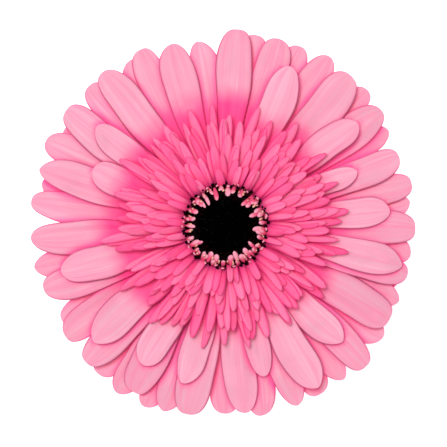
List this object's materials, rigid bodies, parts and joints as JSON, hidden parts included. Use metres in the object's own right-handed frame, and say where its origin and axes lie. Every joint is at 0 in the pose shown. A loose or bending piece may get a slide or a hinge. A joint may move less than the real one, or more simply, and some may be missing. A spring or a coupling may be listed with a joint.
{
  "type": "cut gerbera bloom",
  "caption": "Pink gerbera flower head cut just below its green calyx, lying face up, with long ray petals, a shaggy inner crown and a dark centre.",
  "frame": {"origin": "on the surface the bloom lies on, under the middle of its outline", "axes": "+Z out of the bloom's face, up from the surface; +X and +Y across the face, to the right and up as the bloom is looked at"},
  "size_m": [0.11, 0.1108, 0.0283],
  "materials": {
    "ray_petal_pink": "matte",
    "front_petal_pink": "matte",
    "trans_petal_pink": "matte",
    "disc_floret_pink": "matte",
    "bud_black": "matte",
    "bract_green": "matte",
    "stem_green": "matte"
  },
  "bodies": {
    "root": {"bracts_inner": "bract_green", "bracts_outer": "bract_green", "centre_buds": "bud_black", "disc_florets": "disc_floret_pink", "flower_base": "stem_green", "front_ray_petals": "front_petal_pink", "ray_petal_01": "ray_petal_pink", "ray_petal_02": "ray_petal_pink", "ray_petal_03": "ray_petal_pink", "ray_petal_04": "ray_petal_pink", "ray_petal_05": "ray_petal_pink", "ray_petal_06": "ray_petal_pink", "ray_petal_07": "ray_petal_pink", "ray_petal_08": "ray_petal_pink", "ray_petal_09": "ray_petal_pink", "ray_petal_10": "ray_petal_pink", "ray_petal_11": "ray_petal_pink", "ray_petal_12": "ray_petal_pink", "ray_petal_13": "ray_petal_pink", "ray_petal_14": "ray_petal_pink", "ray_petal_15": "ray_petal_pink", "ray_petal_16": "ray_petal_pink", "ray_petal_17": "ray_petal_pink", "ray_petal_18": "ray_petal_pink", "ray_petal_19": "ray_petal_pink", "ray_petal_20": "ray_petal_pink", "ray_petal_21": "ray_petal_pink", "ray_petal_22": "ray_petal_pink", "ray_petal_23": "ray_petal_pink", "ray_petal_24": "ray_petal_pink", "ray_petal_25": "ray_petal_pink", "ray_petal_26": "ray_petal_pink", "ray_petal_27": "ray_petal_pink", "ray_petal_28": "ray_petal_pink", "ray_petal_29": "ray_petal_pink", "ray_petal_30": "ray_petal_pink", "ray_petal_31": "ray_petal_pink", "ray_petal_32": "ray_petal_pink", "ray_petal_33": "ray_petal_pink", "ray_petal_34": "ray_petal_pink", "ray_petal_35": "ray_petal_pink", "ray_petal_36": "ray_petal_pink", "ray_petal_37": "ray_petal_pink", "ray_petal_38": "ray_petal_pink", "ray_petal_39": "ray_petal_pink", "ray_petal_40": "ray_petal_pink", "ray_petal_41": "ray_petal_pink", "ray_petal_42": "ray_petal_pink", "ray_petal_43": "ray_petal_pink", "ray_petal_44": "ray_petal_pink", "ray_petal_45": "ray_petal_pink", "ray_petal_46": "ray_petal_pink", "ray_petal_47": "ray_petal_pink", "ray_petal_48": "ray_petal_pink", "ray_petal_49": "ray_petal_pink", "ray_petal_50": "ray_petal_pink", "trans_petals_inner": "trans_petal_pink", "trans_petals_outer": "trans_petal_pink", "trans_petals_second": "trans_petal_pink", "trans_petals_third": "trans_petal_pink"}
  },
  "joints": []
}
